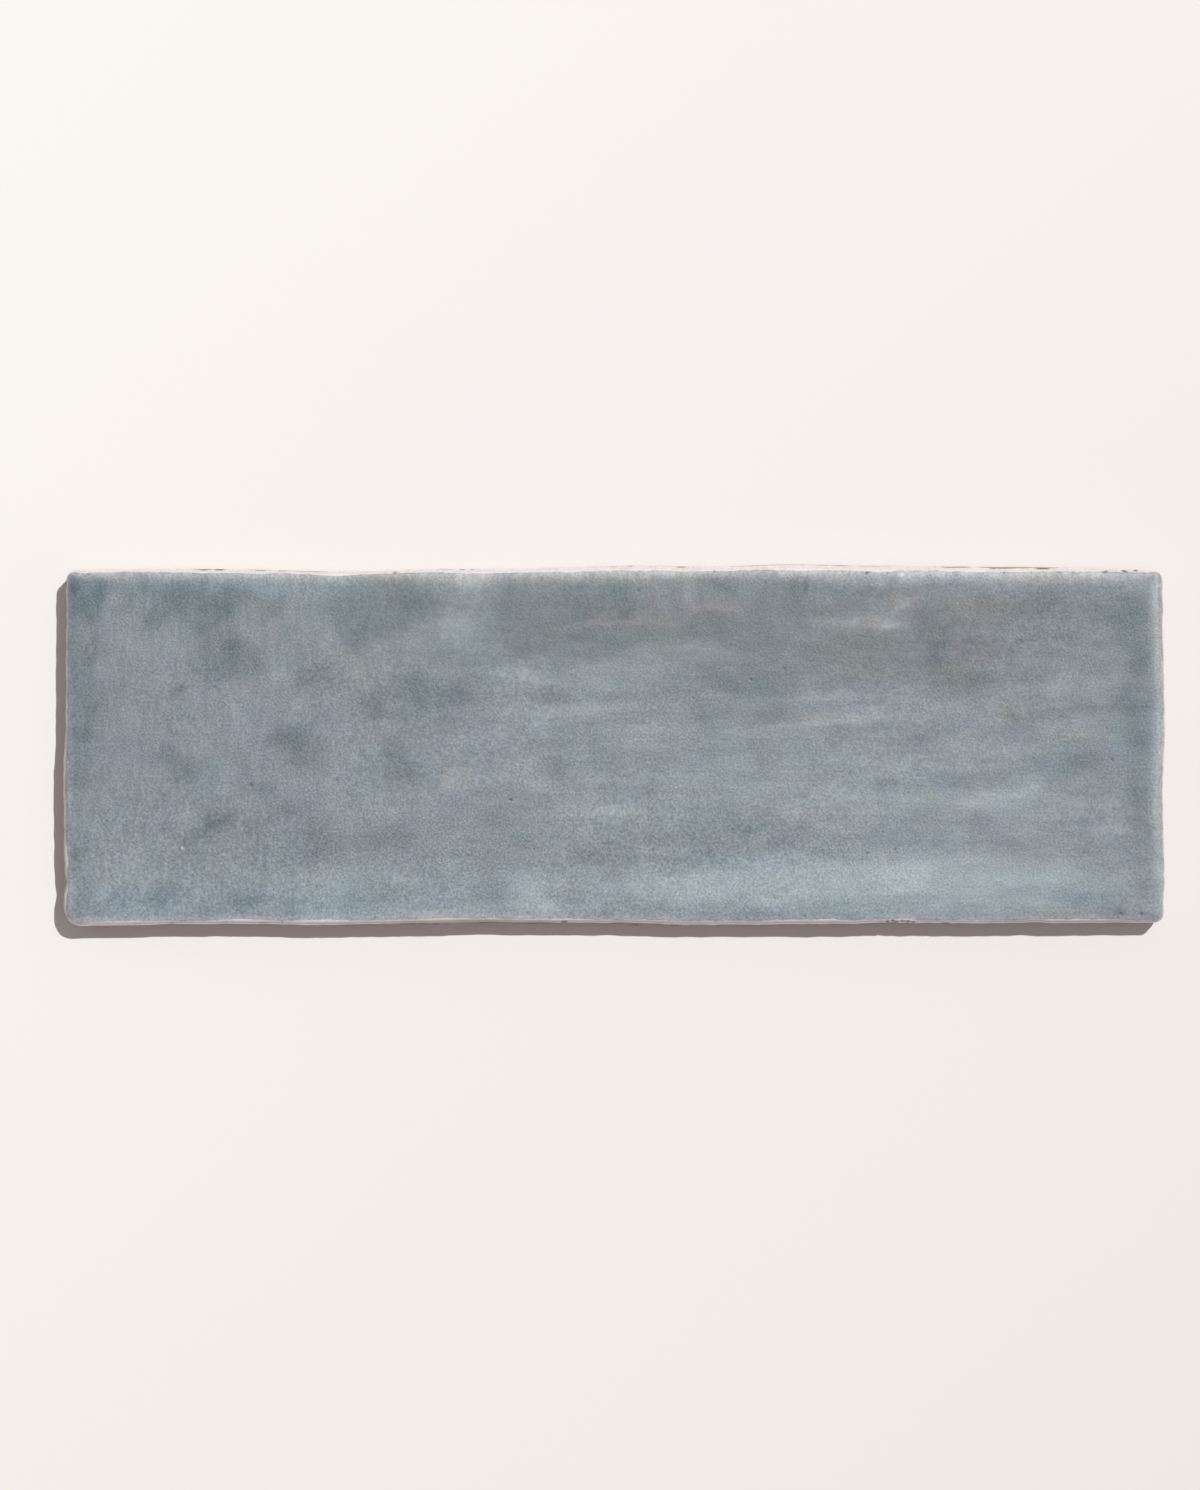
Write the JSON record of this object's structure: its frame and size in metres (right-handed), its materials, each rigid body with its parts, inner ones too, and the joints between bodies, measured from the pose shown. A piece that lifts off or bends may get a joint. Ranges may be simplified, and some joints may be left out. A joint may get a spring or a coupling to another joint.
{
  "type": "glazed ceramic wall tile",
  "caption": "Long rectangular wall tile of fired clay, with a wavy satin blue-grey glazed face, uneven bare clay edges and keying grooves in its back, for bedding in adhesive.",
  "frame": {"origin": "centre of the back, in the plane that the tile rests on", "axes": "+X along the tile's length, +Y across its width, +Z out of the glazed face"},
  "size_m": [0.2003, 0.0657, 0.0086],
  "materials": {
    "glaze": "satin"
  },
  "bodies": {
    "root": {"tile": "glaze"}
  },
  "joints": []
}
